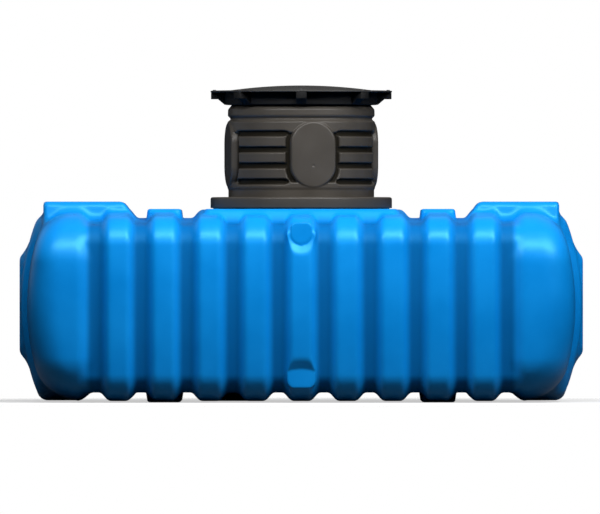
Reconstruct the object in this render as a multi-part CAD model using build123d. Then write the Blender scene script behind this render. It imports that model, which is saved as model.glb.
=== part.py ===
"""Low flat rainwater tank for burial under a lawn: a ribbed blue plastic body with domed ends,
raised decks, feet and a pump sump, and a black access riser with a domed cover.

The frame is millimetres with +Z up.  The origin is on the ground under the middle of the tank, X runs
along its length and the front, with the main pipe pad of the riser, faces -Y.

The moulded body is divided at its edges: walls, shoulders, haunches, roof, base and ends.  Every wall
of the barrel is the same corrugated strip, turned about the axis of its own arc of the section.
"""
import os
from math import atan2, cos, degrees, radians, sin, sqrt, tan

from build123d import *

# Overall sizes of the body
tank_width = 1250.0
tank_wall = 8.0

# Section of the barrel at the bottom of the corrugation, as heights above the ground
valley_top = 761.0
valley_bottom = 41.0
shoulder_radius = 70.0
haunch_radius = 76.0
crown_radius = 4200.0
side_bow_radius = 3600.0
bow_height = 400.0

# Corrugation
rib_count = 9
rib_pitch = 188.2
rib_depth = 35.0
rib_base_width = 137.0
rib_flank_angle = 57.8
rib_edge_radius = 20.0

# Ends, from the last valley of the barrel to the boss
end_length = 293.5
lobe_flank_run = 30.0
lobe_shoulder_radius = 180.0
lobe_haunch_radius = 180.0
lobe_setback = 38.0
lobe_bulge_radius = 995.0
lobe_corner_radius = 130.0
panel_width = 340.0
panel_setback = 6.0
panel_corner_radius = 60.0
panel_toe_radius = 26.0
boss_width = 220.0
boss_height = 390.0
boss_bevel_rise = 41.0
boss_bevel_run = 29.0

# Raised places on the roof and under the base
manhole_deck_top = 797.5
manhole_deck_length = 800.0
manhole_deck_width = 840.0
end_deck_top = 828.0
end_deck_setback = 101.0
end_deck_length = 331.0
end_deck_width = 600.0
deck_slope_angle = 35.0
deck_draft_angle = 10.0
carrier_depth = 160.0
strap_rib_index = 3
strap_pad_length = 143.0
strap_pad_width = 660.0
foot_width = 840.0
raised_corner_radius = 30.0
raised_edge_radius = 14.0
sump_index = -1.5
sump_diameter = 262.0
sump_draft_angle = 14.0
sump_bottom = 3.0

# Pipe seats on the middle rib: above, a disc in a dish with a boss round it, and below, a flat under a brow
pipe_seat_height = 694.0
pipe_seat_radius = 45.0
pipe_seat_flare = 28.0
pipe_seat_depth = 15.0
pipe_disc_radius = 44.0
pipe_disc_depth = 11.5
pipe_disc_rise = 45.0
pipe_disc_corner = 20.0
pipe_boss_radius = 61.0
drain_seat_top = 136.0
drain_seat_bottom = 61.0
drain_seat_width = 117.0
drain_brow_width = 122.0
drain_seat_depth = 17.0
drain_seat_rise = 37.0
drain_seat_corner = 28.0

# Manhole, riser and cover
collar_radius = 286.0
collar_wall = 10.0
collar_height = 44.0
seal_height = 4.0
seal_inset = 11.0
seal_width = 14.0
ring_radius = 376.0
ring_height = 45.5
ring_wall = 16.0
ring_plate = 8.0
ring_edge_radius = 6.0
riser_radius = 306.0
riser_neck_radius = 304.0
riser_wall = 8.0
riser_turn = 9.5
band_bottom = 880.0
band_top = 1164.0
waist_radius = 294.0
waist_height = 6.0
bulge_radius = 304.0
riser_top_radius = 288.0
riser_top = 1229.0
groove_count = 4
groove_pitch = 66.3
groove_mouth = 30.0
groove_floor = 18.0
groove_depth = 14.0
groove_middle = 1009.5
groove_sector = 45.0
pad_count = 4
pad_width = 177.0
pad_height = 273.0
pad_stand = 3.0
pad_middle = 1022.0
pad_chamfer = 8.0
moat_width = 28.0
frame_radius = 318.0
frame_bore_radius = 262.0
frame_height = 48.0
frame_wall = 8.0
cover_radius = 376.0
cover_rim_thickness = 7.0
cover_wall = 7.0
dome_radius = 307.0
dome_rise = 22.0
lug_count = 8
lug_width = 44.0
lug_height = 28.0
lug_reach = 374.0
lug_length = 29.0
fit_gap = 0.3

# Heights and lengths that follow from the sizes above
half_width = tank_width / 2
valley_half_width = half_width - rib_depth
end_start = rib_count * rib_pitch / 2 + (rib_pitch - rib_base_width) / 2
half_length = end_start + end_length
tank_length = 2 * half_length
crown_centre_z = valley_top - crown_radius
side_centre_y = valley_half_width - side_bow_radius


def shoulder_centre(level, radius):
    """Centre of the arc of this radius that touches the side and the crown, both at this level."""
    to_side = side_bow_radius + level - radius
    to_crown = crown_radius + level - radius
    dy = -side_centre_y
    dz = crown_centre_z - bow_height
    span = sqrt(dy * dy + dz * dz)
    along = (to_side**2 - to_crown**2 + span**2) / (2 * span)
    off = sqrt(to_side**2 - along**2)
    y = side_centre_y + (along * dy - off * dz) / span
    z = bow_height + (along * dz + off * dy) / span
    return y, z


def haunch_centre(level, radius):
    """Centre of the arc of this radius that touches the side and the flat base, both at this level."""
    z = valley_bottom - level + radius
    y = side_centre_y + sqrt((side_bow_radius + level - radius) ** 2 - (z - bow_height) ** 2)
    return y, z


def side_angle(centre):
    """Angle above the level line at which the side arc meets a corner arc with this centre."""
    return degrees(atan2(centre[1] - bow_height, centre[0] - side_centre_y))


def crown_angle(centre):
    """Angle off the vertical at which the crown meets a shoulder arc with this centre."""
    return degrees(atan2(centre[0], centre[1] - crown_centre_z))


def section(level, shoulder, haunch):
    """Face across the body, this far above the valleys, with arcs of these two corner radii."""
    top = shoulder_centre(level, shoulder)
    low = haunch_centre(level, haunch)
    turn = crown_angle(top)
    high_angle = side_angle(top)
    low_angle = side_angle(low)
    base_z = valley_bottom - level
    edges = [CenterArc((0, crown_centre_z), crown_radius + level, 90 - turn, 2 * turn)]
    edges += [CenterArc(top, shoulder, high_angle, 90 - turn - high_angle)]
    side_centre = (side_centre_y, bow_height)
    edges += [CenterArc(side_centre, side_bow_radius + level, low_angle, high_angle - low_angle)]
    edges += [CenterArc(low, haunch, -90, low_angle + 90)]
    edges += [mirror(edge, about=Plane.YZ) for edge in edges[1:]]
    edges += [Line((-low[0], base_z), (low[0], base_z))]
    return Plane.YZ * make_face(edges)


def rib_face(z):
    """Distance of the ribs' bowed outer face from the middle plane, at this height."""
    return side_centre_y + sqrt((side_bow_radius + rib_depth) ** 2 - (z - bow_height) ** 2)


def corrugated_face(radius, thickness):
    """Section along a barrel wall: the wavy outer line at this radius and a parallel inner one."""
    run = rib_depth / tan(radians(rib_flank_angle))
    outer = [(-end_start, radius)]
    inner = [(-end_start, radius - thickness)]
    for index in range(rib_count):
        middle = (index - (rib_count - 1) / 2) * rib_pitch
        for line, level, shift in ((outer, radius, 0.0), (inner, radius - thickness, thickness)):
            foot = rib_base_width / 2 - shift * tan(radians(rib_flank_angle) / 2)
            crest = level + rib_depth
            line += [(middle - foot, level), (middle - foot + run, crest)]
            line += [(middle + foot - run, crest), (middle + foot, level)]
    outer.append((end_start, radius))
    inner.append((end_start, radius - thickness))
    face = make_face(Polyline(*outer, *reversed(inner), close=True))
    crests = [corner for corner in face.vertices() if abs(corner.Y - radius - rib_depth) < fit_gap]
    return fillet(crests, rib_edge_radius)


def strip(radius, thickness, centre_y, centre_z, start, end):
    """Corrugated wall turned about its own axis, from start to end degrees off upright to the front."""
    profile = Rot(start, 0, 0) * (Plane.XZ * corrugated_face(radius, thickness))
    return Pos(0, centre_y, centre_z) * revolve(profile, Axis.X, end - start)


def barrel_angles():
    """Turns at which crown, shoulder, side and haunch of the barrel meet, in degrees off upright."""
    top = shoulder_centre(0, shoulder_radius)
    low = haunch_centre(0, haunch_radius)
    return crown_angle(top), 90 - side_angle(top), 90 - side_angle(low)


def front_shoulder_strip(thickness):
    """Front shoulder of the barrel."""
    y, z = shoulder_centre(0, shoulder_radius)
    crown_turn, upper_turn, lower_turn = barrel_angles()
    return strip(shoulder_radius, thickness, -y, z, crown_turn, upper_turn)


def front_wall_strip(thickness):
    """Front side of the barrel."""
    crown_turn, upper_turn, lower_turn = barrel_angles()
    return strip(side_bow_radius, thickness, -side_centre_y, bow_height, upper_turn, lower_turn)


def front_haunch_strip(thickness):
    """Front haunch of the barrel."""
    y, z = haunch_centre(0, haunch_radius)
    crown_turn, upper_turn, lower_turn = barrel_angles()
    return strip(haunch_radius, thickness, -y, z, lower_turn, 180)


def roof_strip(thickness):
    """Crown of the barrel, between the shoulders."""
    turn = barrel_angles()[0]
    return strip(crown_radius, thickness, 0, crown_centre_z, -turn, turn)


def base_strip(thickness):
    """Flat base of the barrel, between the haunches."""
    y = haunch_centre(0, haunch_radius)[0]
    profile = Rot(180, 0, 0) * (Plane.XZ * corrugated_face(haunch_radius, thickness))
    return Pos(0, y, valley_bottom + haunch_radius) * extrude(profile, 2 * y, dir=(0, -1, 0))


def bulge(reach, y_width, inset):
    """Upright end form: the body's section carried out to a barrel-shaped end at this reach."""
    outline = section(rib_depth - inset, lobe_shoulder_radius - inset, lobe_haunch_radius - inset)
    length = reach - inset - end_start - lobe_flank_run
    block = Pos(end_start + lobe_flank_run, 0, 0) * extrude(outline, length, dir=(1, 0, 0))
    axis_x = reach - lobe_bulge_radius
    drum = Cylinder(lobe_bulge_radius - inset, tank_width, rotation=(90, 0, 0))
    block = block & (Pos(axis_x, 0, bow_height) * drum)
    if y_width < tank_width:
        block = block & (Pos(end_start, 0, bow_height) * Box(tank_length, y_width, tank_length))
    return block


def end_solid(inset):
    """Right end as a solid, drawn in by inset: flank, rounded lobes, middle panel and flat boss."""
    inner = section(-inset, shoulder_radius - inset, haunch_radius - inset)
    lobe = section(rib_depth - inset, lobe_shoulder_radius - inset, lobe_haunch_radius - inset)
    flank = loft([Pos(end_start, 0, 0) * inner, Pos(end_start + lobe_flank_run, 0, 0) * lobe], ruled=True)
    lobes = bulge(half_length - lobe_setback, tank_width, inset)
    lobes = fillet(lobes.faces().sort_by(Axis.X)[-1].edges(), lobe_corner_radius - inset)
    panel = bulge(half_length - panel_setback, panel_width - 2 * inset, inset)
    rim = panel.faces().sort_by(Axis.X)[-1].edges().sort_by(Axis.Z)
    panel = fillet(rim[1:], panel_corner_radius - inset)
    toe = panel.faces().sort_by(Axis.X)[-1].edges().sort_by(Axis.Z)[0]
    panel = fillet(toe, panel_toe_radius - inset)
    half = boss_height / 2
    reach = half_length - inset
    root = half_length - lobe_setback - boss_bevel_run
    slope = boss_bevel_rise / boss_bevel_run
    low = half + (reach - root) * slope
    points = [(reach, half), (root, low), (root, -low), (reach, -half)]
    outline = Plane.XZ * make_face(Polyline(*points, close=True))
    boss = extrude(outline, (boss_width - 2 * inset) / 2, both=True)
    return flank + lobes + panel + Pos(0, 0, bow_height) * boss


def crown_height(y):
    """Height of the valleys of the roof at this distance from the middle plane."""
    return crown_centre_z + sqrt(crown_radius**2 - y**2)


def raised_block(x_low, x_high, width, top, root, angles, inset):
    """Form of a raised place, from its top down to a root inside the body, drawn in by inset."""
    low_run, high_run, side_run = [(top - root) * tan(radians(angle)) for angle in angles]
    corner = raised_corner_radius - inset
    faces = []
    for level, spread in ((top - inset, 0), (root, 1)):
        left = x_low - low_run * spread + inset
        right = x_high + high_run * spread - inset
        across = width + 2 * side_run * spread - 2 * inset
        faces.append(Pos((left + right) / 2, 0, level) * RectangleRounded(right - left, across, corner))
    block = loft(faces)
    return fillet(block.faces().sort_by(Axis.Z)[-1].edges(), raised_edge_radius - inset)


def raised_opening(x_low, x_high, width, root):
    """Straight shaft inside the walls of a raised place, from its root upwards."""
    length = x_high - x_low - 2 * tank_wall
    outline = RectangleRounded(length, width - 2 * tank_wall, raised_corner_radius - tank_wall)
    return Pos((x_low + x_high) / 2, 0, root) * extrude(outline, tank_width)


def raised_place(outer, inner, opening, carriers):
    """Shell of a raised place, seated on the carriers, which are open inside its walls."""
    shell = outer - inner
    for carrier in carriers:
        shell -= carrier - inner - opening
    return shell


def rib_envelope(level):
    """The barrel's section at this level over its valleys, carried along the middle rib."""
    outline = section(level, shoulder_radius + level, haunch_radius + level)
    return extrude(outline, rib_pitch / 2, both=True)


def pipe_seat_form(inset):
    """Shallow dish cut into the front of the middle rib, drawn back by inset."""
    flare = pipe_seat_flare / pipe_seat_depth
    length = 2 * pipe_seat_depth + inset
    low = pipe_seat_radius + inset / 2
    cone = Cone(low, low + flare * length, length, align=(Align.CENTER, Align.CENTER, Align.MIN))
    back = pipe_seat_depth + inset - rib_face(pipe_seat_height)
    return Pos(0, back, pipe_seat_height) * Rot(90, 0, 0) * cone


def pipe_boss(inset):
    """Round boss that widens the middle rib at the dish, drawn in by inset."""
    drum = Cylinder(pipe_boss_radius - inset, carrier_depth, rotation=(90, 0, 0))
    return (Pos(0, -half_width, pipe_seat_height) * drum) & rib_envelope(rib_depth - inset)


def pipe_disc(inset, depth):
    """Upright disc of this depth in the dish, square at the top, where it stands out of the shoulder."""
    radius = pipe_disc_radius - inset
    rise = pipe_disc_rise - inset
    top = RectangleRounded(2 * radius, 2 * rise, pipe_disc_corner - inset)
    outline = Circle(radius) + (top & Pos(0, rise / 2) * Rectangle(2 * radius, rise))
    back = pipe_disc_depth + inset - rib_face(pipe_seat_height)
    return Pos(0, back, pipe_seat_height) * extrude(Plane.XZ * outline, -depth)


def drain_boss(inset):
    """Block with round corners that carries the lower flat out of the haunch, drawn in by inset."""
    low = drain_seat_bottom + inset
    high = drain_seat_top + drain_seat_corner
    outline = RectangleRounded(drain_seat_width - 2 * inset, high - low, drain_seat_corner - inset)
    back = drain_seat_depth + inset - rib_face(drain_seat_top)
    return Pos(0, back, (low + high) / 2) * extrude(Plane.XZ * outline, -carrier_depth / 2)


def drain_seat_form(inset):
    """Flat under a sloping brow, cut into the haunch of the middle rib, drawn back by inset."""
    back = drain_seat_depth + inset - rib_face(drain_seat_top)
    front = -half_width - drain_seat_depth
    slope = drain_seat_rise / drain_seat_depth
    top = drain_seat_top + inset / 2
    points = [(back, 0), (back, top), (front, top + slope * (back - front)), (front, 0)]
    outline = Plane.YZ * make_face(Polyline(*points, close=True))
    return extrude(outline, drain_brow_width / 2 + inset, both=True)


def seat_backing(form, carriers):
    """Wall behind a cut: the carriers where the drawn-back form of the cut meets them."""
    return (form(tank_wall) & carriers[0]) + (form(tank_wall) & carriers[1])


def make_pipe_seat(carriers, hollows):
    """Boss, dish and disc of the front pipe seat, open to the inside of the tank."""
    inside = rib_envelope(-tank_wall)
    wall = pipe_boss(0) - pipe_boss(tank_wall) - inside
    wall -= hollows[0] + hollows[1]
    wall += seat_backing(pipe_seat_form, carriers)
    wall -= pipe_seat_form(0)
    wall += pipe_disc(0, carrier_depth / 2) - inside - hollows[0] - hollows[1]
    wall += pipe_disc(0, tank_wall)
    return wall - pipe_disc(tank_wall, carrier_depth / 2)


def make_drain_seat(carriers):
    """Block and brow of the front drain seat, open to the inside of the tank."""
    wall = drain_boss(0) - rib_envelope(-tank_wall)
    wall += seat_backing(drain_seat_form, carriers)
    return wall - drain_boss(tank_wall) - drain_seat_form(0)


def ring(outer_radius, inner_radius, low, high):
    """Plain ring about the riser's axis."""
    middle = Pos((outer_radius + inner_radius) / 2, (low + high) / 2)
    profile = middle * Rectangle(outer_radius - inner_radius, high - low)
    return revolve(Plane.XZ * profile, Axis.Z)


seal_bottom = manhole_deck_top
seal_top = seal_bottom + seal_height
ring_top = seal_top + ring_height
frame_top = riser_top + frame_height
rim_bottom = frame_top + seal_height
rim_top = rim_bottom + cover_rim_thickness


def riser_form(inset):
    """Riser as a solid of revolution, drawn in by inset: neck, band, waist and rounded top."""
    waist_low = band_top + waist_height / 2
    waist_high = waist_low + waist_height
    middle = (waist_high + riser_top) / 2
    walls = [(0, seal_top), (riser_neck_radius - inset, seal_top)]
    walls += [(riser_neck_radius - inset, band_bottom - waist_height), (riser_radius - inset, band_bottom)]
    walls += [(riser_radius - inset, band_top - waist_height), (waist_radius - inset, waist_low)]
    walls += [(waist_radius - inset, waist_high)]
    low = walls[-1]
    high = (riser_top_radius - inset, riser_top)
    edges = [Polyline(*walls), ThreePointArc(low, (bulge_radius - inset, middle), high)]
    edges += [Polyline(high, (0, riser_top), (0, seal_top))]
    return revolve(Plane.XZ * make_face(edges), Axis.Z)


def groove_ring(inset, grow):
    """Grooves of one panel between two pads, or with an inset the bumps behind them inside."""
    face_radius = riser_radius - inset
    half_mouth = groove_mouth / 2 + inset / 2
    half_floor = groove_floor / 2 + inset / 2
    over = half_mouth - half_floor
    cuts = []
    for index in range(groove_count):
        z = groove_middle + (index - (groove_count - 1) / 2) * groove_pitch
        points = [(face_radius - groove_depth, z - half_floor), (face_radius, z - half_mouth)]
        points += [(face_radius + over, z - half_mouth), (face_radius + over, z + half_mouth)]
        points += [(face_radius, z + half_mouth), (face_radius - groove_depth, z + half_floor)]
        outline = Plane.XZ * make_face(Polyline(*points, close=True))
        turn = groove_sector + grow
        cuts.append(Rot(0, 0, -turn / 2) * revolve(outline, Axis.Z, turn))
    return cuts


def pad_block(inset):
    """Upright oval pad on the front of the riser, drawn in by inset and rooted behind the moat."""
    outline = Rot(0, 0, 90) * SlotOverall(pad_height - 2 * inset, pad_width - 2 * inset)
    face_y = riser_radius + pad_stand - inset
    floor = riser_radius - groove_depth - inset
    root = sqrt(floor**2 - (pad_width / 2) ** 2)
    return Pos(0, -face_y, pad_middle) * extrude(Plane.XZ * outline, root - face_y)


def moat_block(inset):
    """Moat round the front pad, from the lowest groove to the highest, or the wall behind it inside."""
    spread = 2 * moat_width + 2 * inset
    outline = Rot(0, 0, 90) * SlotOverall(pad_height + spread, pad_width + spread)
    block = Pos(0, -riser_radius, pad_middle) * extrude(Plane.XZ * outline, groove_mouth * 2, both=True)
    reach = (groove_count - 1) * groove_pitch / 2 + groove_mouth / 2 + inset / 2
    floor = riser_radius - groove_depth - inset
    return block & ring(riser_radius + groove_mouth, floor, groove_middle - reach, groove_middle + reach)


def around(pieces, count, start):
    """Copies of these pieces, spread evenly about the riser's axis from this turn on."""
    return [Rot(0, 0, start + index * 360 / count) * piece for index in range(count) for piece in pieces]


def make_riser():
    """Riser wall with its pads standing in their moats and grooved panels between them."""
    outer = riser_form(0)
    inner = riser_form(riser_wall)
    between = riser_turn + 180 / pad_count - 90
    for cut in around(groove_ring(0, 0), pad_count, between) + around([moat_block(0)], pad_count, riser_turn):
        outer -= cut
    grow = 2 * degrees(riser_wall / riser_radius)
    bumps = around(groove_ring(riser_wall, grow), pad_count, between)
    for bump in bumps + around([moat_block(riser_wall)], pad_count, riser_turn):
        inner -= bump
    pad = pad_block(0)
    pad = chamfer(pad.faces().sort_by(Axis.Y)[0].edges(), pad_chamfer)
    for block in around([pad], pad_count, riser_turn):
        outer += block
    for pocket in around([pad_block(riser_wall)], pad_count, riser_turn):
        inner += pocket
    return outer - inner


def make_base_ring():
    """Wide ring round the foot of the riser: two skirts under a flat top."""
    body = ring(ring_radius, riser_neck_radius + fit_gap, seal_top, ring_top)
    inner_skirt = riser_neck_radius + fit_gap + ring_wall
    body -= ring(ring_radius - ring_wall, inner_skirt, seal_top, ring_top - ring_plate)
    edge = body.edges().filter_by(GeomType.CIRCLE).sort_by(SortBy.RADIUS)[-2:].sort_by(Axis.Z)[-1]
    return fillet(edge, ring_edge_radius)


def make_cover_frame():
    """Frame on the riser: a flat foot on the riser's rim, an upright wall and lugs that hold the cover."""
    frame = ring(frame_radius, frame_bore_radius, riser_top, riser_top + frame_wall)
    frame += ring(frame_radius, frame_radius - frame_wall, riser_top, frame_top)
    root = frame_radius - frame_wall / 2
    low = rim_bottom - lug_height
    high = rim_bottom - fit_gap
    points = [(root, riser_top), (frame_radius, riser_top), (lug_reach - lug_length, low)]
    points += [(lug_reach, low), (lug_reach, high), (frame_radius, high)]
    points += [(frame_radius, frame_top), (root, frame_top)]
    lug = extrude(Plane.XZ * make_face(Polyline(*points, close=True)), lug_width / 2, both=True)
    for copy in around([lug], lug_count, 0):
        frame += copy
    return frame


def make_cover():
    """Domed cover with its flat rim plate."""
    dome_top = rim_top + dome_rise
    sphere_radius = (dome_radius**2 + dome_rise**2) / (2 * dome_rise)
    centre = dome_top - sphere_radius
    inner_radius = sphere_radius - cover_wall
    inner_edge = sqrt(inner_radius**2 - (rim_bottom - centre) ** 2)
    middle_outer = (sphere_radius * sin(radians(4)), centre + sphere_radius * cos(radians(4)))
    middle_inner = (inner_radius * sin(radians(4)), centre + inner_radius * cos(radians(4)))
    edges = [ThreePointArc((0, dome_top), middle_outer, (dome_radius, rim_top))]
    edges += [Polyline((dome_radius, rim_top), (cover_radius, rim_top), (cover_radius, rim_bottom))]
    edges += [Line((cover_radius, rim_bottom), (inner_edge, rim_bottom))]
    edges += [ThreePointArc((inner_edge, rim_bottom), middle_inner, (0, dome_top - cover_wall))]
    edges += [Line((0, dome_top - cover_wall), (0, dome_top))]
    return revolve(Plane.XZ * make_face(edges), Axis.Z)


def raised_forms(x_low, x_high, width, top, root, angles):
    """Outer form, hollow and opening of one raised place."""
    outer = raised_block(x_low, x_high, width, top, root, angles, 0)
    hollow = raised_block(x_low, x_high, width, top, root, angles, tank_wall)
    return outer, hollow, raised_opening(x_low, x_high, width, root)


def mirrored(shape):
    """The same shape on the other side of the middle, along the tank."""
    return mirror(shape, about=Plane.YZ)


def make_body():
    """Every piece of the tank body, by name."""
    pieces = {}
    roof = roof_strip(tank_wall)
    base = base_strip(tank_wall)
    end_form = end_solid(0)
    mouth = section(-tank_wall, shoulder_radius - tank_wall, haunch_radius - tank_wall)
    end = end_form - end_solid(tank_wall)
    end -= Pos(end_start, 0, 0) * extrude(mouth, tank_wall, dir=(1, 0, 0), both=True)
    thick_roof = roof_strip(carrier_depth)
    thick_base = base_strip(carrier_depth)

    far_x = manhole_deck_length / 2
    root = crown_height(manhole_deck_width / 2) - 4 * tank_wall
    angles = (deck_draft_angle, deck_draft_angle, deck_slope_angle)
    forms = raised_forms(-far_x, far_x, manhole_deck_width, manhole_deck_top, root, angles)
    shaft = Pos(0, 0, manhole_deck_top) * Cylinder(collar_radius - collar_wall, carrier_depth)
    pieces["manhole_deck"] = raised_place(*forms, [thick_roof]) - shaft
    roof -= forms[1] + forms[2]

    far_x = half_length - end_deck_setback
    root = valley_top - lobe_corner_radius / 2
    angles = (deck_slope_angle, 0, deck_draft_angle)
    forms = raised_forms(far_x - end_deck_length, far_x, end_deck_width, end_deck_top, root, angles)
    deck = raised_place(*forms, [thick_roof, end_form])
    end -= forms[1] + forms[2]
    roof -= forms[1] + forms[2]
    roof -= mirrored(forms[1] + forms[2])

    middle = strap_rib_index * rib_pitch
    low_x = middle - strap_pad_length / 2
    high_x = middle + strap_pad_length / 2
    root = crown_height(strap_pad_width / 2) - 4 * tank_wall
    forms = raised_forms(low_x, high_x, strap_pad_width, manhole_deck_top, root, (0, 0, deck_draft_angle))
    pad = raised_place(*forms, [thick_roof])
    roof -= forms[1] + forms[2]
    roof -= mirrored(forms[1] + forms[2])

    root = valley_bottom + 4 * tank_wall
    forms = raised_forms(low_x, high_x, foot_width, 0, -root, (0, 0, deck_draft_angle))
    forms = [mirror(form, about=Plane.XY) for form in forms]
    foot = raised_place(*forms, [thick_base])
    base -= forms[1] + forms[2]
    base -= mirrored(forms[1] + forms[2])

    forms = sump_forms()
    pieces["pump_sump"] = raised_place(*forms, [thick_base])
    base -= forms[1] + forms[2]

    walls = {"shoulder": front_shoulder_strip, "wall": front_wall_strip, "haunch": front_haunch_strip}
    fronts = {name: build(tank_wall) for name, build in walls.items()}
    thick = {name: build(rib_depth + 2 * tank_wall) for name, build in walls.items()}
    hollows = [thick[name] - fronts[name] for name in ("shoulder", "wall")]
    for name in ("shoulder", "wall"):
        fronts[name] -= pipe_seat_form(tank_wall)
        fronts[name] -= pipe_boss(0) + pipe_disc(0, carrier_depth / 2)
    for name in ("wall", "haunch"):
        fronts[name] -= drain_seat_form(tank_wall)
        fronts[name] -= drain_boss(0)
    fronts["pipe_seat"] = make_pipe_seat([thick["shoulder"], thick["wall"]], hollows)
    fronts["drain_seat"] = make_drain_seat([thick["wall"], thick["haunch"]])
    for name, piece in fronts.items():
        pieces["front_" + name] = piece
        pieces["back_" + name] = mirror(piece, about=Plane.XZ)

    pieces["roof"] = roof
    pieces["base"] = base
    for name, piece in (("end", end), ("end_deck", deck), ("strap_pad", pad), ("foot", foot)):
        pieces["right_" + name] = piece
        pieces["left_" + name] = mirrored(piece)
    return pieces


def sump_forms():
    """Outer form, hollow and opening of the round pump sump in the base."""
    height = valley_bottom + 4 * tank_wall - sump_bottom
    low = sump_diameter / 2 - (valley_bottom - sump_bottom) * tan(radians(sump_draft_angle))
    high = low + height * tan(radians(sump_draft_angle))
    upright = (Align.CENTER, Align.CENTER, Align.MIN)
    place = Pos(sump_index * rib_pitch, 0, sump_bottom)
    outer = place * Cone(low, high, height, align=upright)
    hollow = place * Pos(0, 0, tank_wall) * Cone(low - tank_wall, high - tank_wall, height, align=upright)
    opening = place * Pos(0, 0, height - tank_width) * Cylinder(low - tank_wall, tank_width, align=upright)
    return outer, hollow, opening


def make_fittings():
    """The manhole's neck and seals, the riser and the cover, by name."""
    pieces = {}
    bore = collar_radius - collar_wall
    pieces["manhole_collar"] = ring(collar_radius, bore, manhole_deck_top, manhole_deck_top + collar_height)
    pieces["deck_seal"] = ring(ring_radius - seal_inset, collar_radius + fit_gap, seal_bottom, seal_top)
    pieces["base_ring"] = make_base_ring()
    pieces["riser"] = make_riser()
    seal_z = seal_top + collar_height / 2
    riser_bore = riser_neck_radius - riser_wall
    pieces["riser_seal"] = ring(riser_bore, collar_radius, seal_z, seal_z + seal_width)
    pieces["cover_frame"] = make_cover_frame()
    pieces["cover_seal"] = ring(frame_radius - fit_gap, frame_radius - seal_width, frame_top, rim_bottom)
    pieces["cover"] = make_cover()
    return pieces


os.makedirs("parts", exist_ok=True)
for node, solid in {**make_body(), **make_fittings()}.items():
    export_step(solid, f"parts/{node}.step")
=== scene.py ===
"""Looks of the flat rainwater tank: one moulded blue body, the black access riser and its cover.

Everything is in metres in the frame of the construction model: +Z up, the origin on the ground under the
middle of the tank, X along its length and the front at -Y.
"""

from math import atan2, cos, pi, radians, sin, sqrt, tan

import bpy
import numpy as np
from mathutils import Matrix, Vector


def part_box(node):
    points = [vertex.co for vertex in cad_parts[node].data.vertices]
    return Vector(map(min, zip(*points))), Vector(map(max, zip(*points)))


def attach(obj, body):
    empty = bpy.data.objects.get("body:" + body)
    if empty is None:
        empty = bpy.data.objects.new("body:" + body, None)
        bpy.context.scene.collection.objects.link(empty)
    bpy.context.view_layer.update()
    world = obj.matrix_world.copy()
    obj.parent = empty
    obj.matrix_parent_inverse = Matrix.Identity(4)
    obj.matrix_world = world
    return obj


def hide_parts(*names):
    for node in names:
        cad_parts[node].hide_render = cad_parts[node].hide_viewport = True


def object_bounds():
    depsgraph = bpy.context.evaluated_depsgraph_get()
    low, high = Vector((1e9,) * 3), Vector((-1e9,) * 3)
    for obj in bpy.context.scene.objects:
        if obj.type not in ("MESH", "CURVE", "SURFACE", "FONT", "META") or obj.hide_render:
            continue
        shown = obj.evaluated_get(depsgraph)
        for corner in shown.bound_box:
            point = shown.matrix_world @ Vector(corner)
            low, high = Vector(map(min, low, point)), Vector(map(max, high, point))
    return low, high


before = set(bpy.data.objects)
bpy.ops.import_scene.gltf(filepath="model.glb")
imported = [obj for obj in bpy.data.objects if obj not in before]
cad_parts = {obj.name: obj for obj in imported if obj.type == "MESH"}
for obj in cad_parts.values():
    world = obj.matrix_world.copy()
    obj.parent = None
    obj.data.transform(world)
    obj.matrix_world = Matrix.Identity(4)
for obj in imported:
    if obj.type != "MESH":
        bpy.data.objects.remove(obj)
cad_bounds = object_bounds()

# Body of the tank: section at the bottom of the corrugation, then ribs and ends
HALF_WIDTH = 0.625
RIB_DEPTH = 0.035
VALLEY_TOP = 0.761
VALLEY_BOTTOM = 0.041
SHOULDER_RADIUS = 0.070
HAUNCH_RADIUS = 0.076
CROWN_RADIUS = 4.2
BOW_RADIUS = 3.6
BOW_HEIGHT = 0.4
RIB_COUNT = 9
RIB_PITCH = 0.1882
RIB_BASE = 0.137
RIB_ANGLE = radians(57.8)
END_START = RIB_PITCH * RIB_COUNT / 2 + (RIB_PITCH - RIB_BASE) / 2
END_LENGTH = 0.2935
HALF_LENGTH = END_START + END_LENGTH
LOBE_RUN = 0.030
LOBE_CORNER = 0.145
LOBE_SETBACK = 0.038
PANEL_SETBACK = 0.006
BULGE_RADIUS = 0.995
LOBE_ROUNDING = 0.130
PANEL_ROUNDING = 0.060
PANEL_TOE = 0.026
PANEL_HALF = 0.170
BOSS_HALF_WIDTH = 0.110
BOSS_HALF_HEIGHT = 0.195
BOSS_SLOPE = 0.041 / 0.029
SIDE_CENTRE = HALF_WIDTH - RIB_DEPTH - BOW_RADIUS
CROWN_CENTRE = VALLEY_TOP - CROWN_RADIUS

# Raised places and seats, whose flares and slopes are run over depth
DECK_TOP = 0.7975
DECK_ROOT = 0.700
DECK_HALF_X = 0.400
DECK_HALF_Y = 0.420
END_DECK_TOP = 0.828
END_DECK_SETBACK = 0.101
END_DECK_LENGTH = 0.331
END_DECK_HIGH = HALF_LENGTH - END_DECK_SETBACK
END_DECK_LOW = END_DECK_HIGH - END_DECK_LENGTH
END_DECK_HALF_Y = 0.300
DECK_SLOPE = radians(35)
DECK_DRAFT = radians(10)
STRAP_X = 3 * RIB_PITCH
STRAP_HALF_X = 0.0715
STRAP_HALF_Y = 0.330
FOOT_HALF_Y = 0.420
SUMP_X = -1.5 * RIB_PITCH
SUMP_RADIUS = 0.131
SUMP_DRAFT = radians(14)
SUMP_BOTTOM = 0.003
PIPE_SEAT_Z = 0.694
PIPE_SEAT_RADIUS = 0.045
PIPE_SEAT_FLARE = 28 / 15
PIPE_SEAT_DEPTH = 0.015
PIPE_DISC_RADIUS = 0.044
PIPE_DISC_RISE = 0.045
PIPE_DISC_CORNER = 0.020
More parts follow.
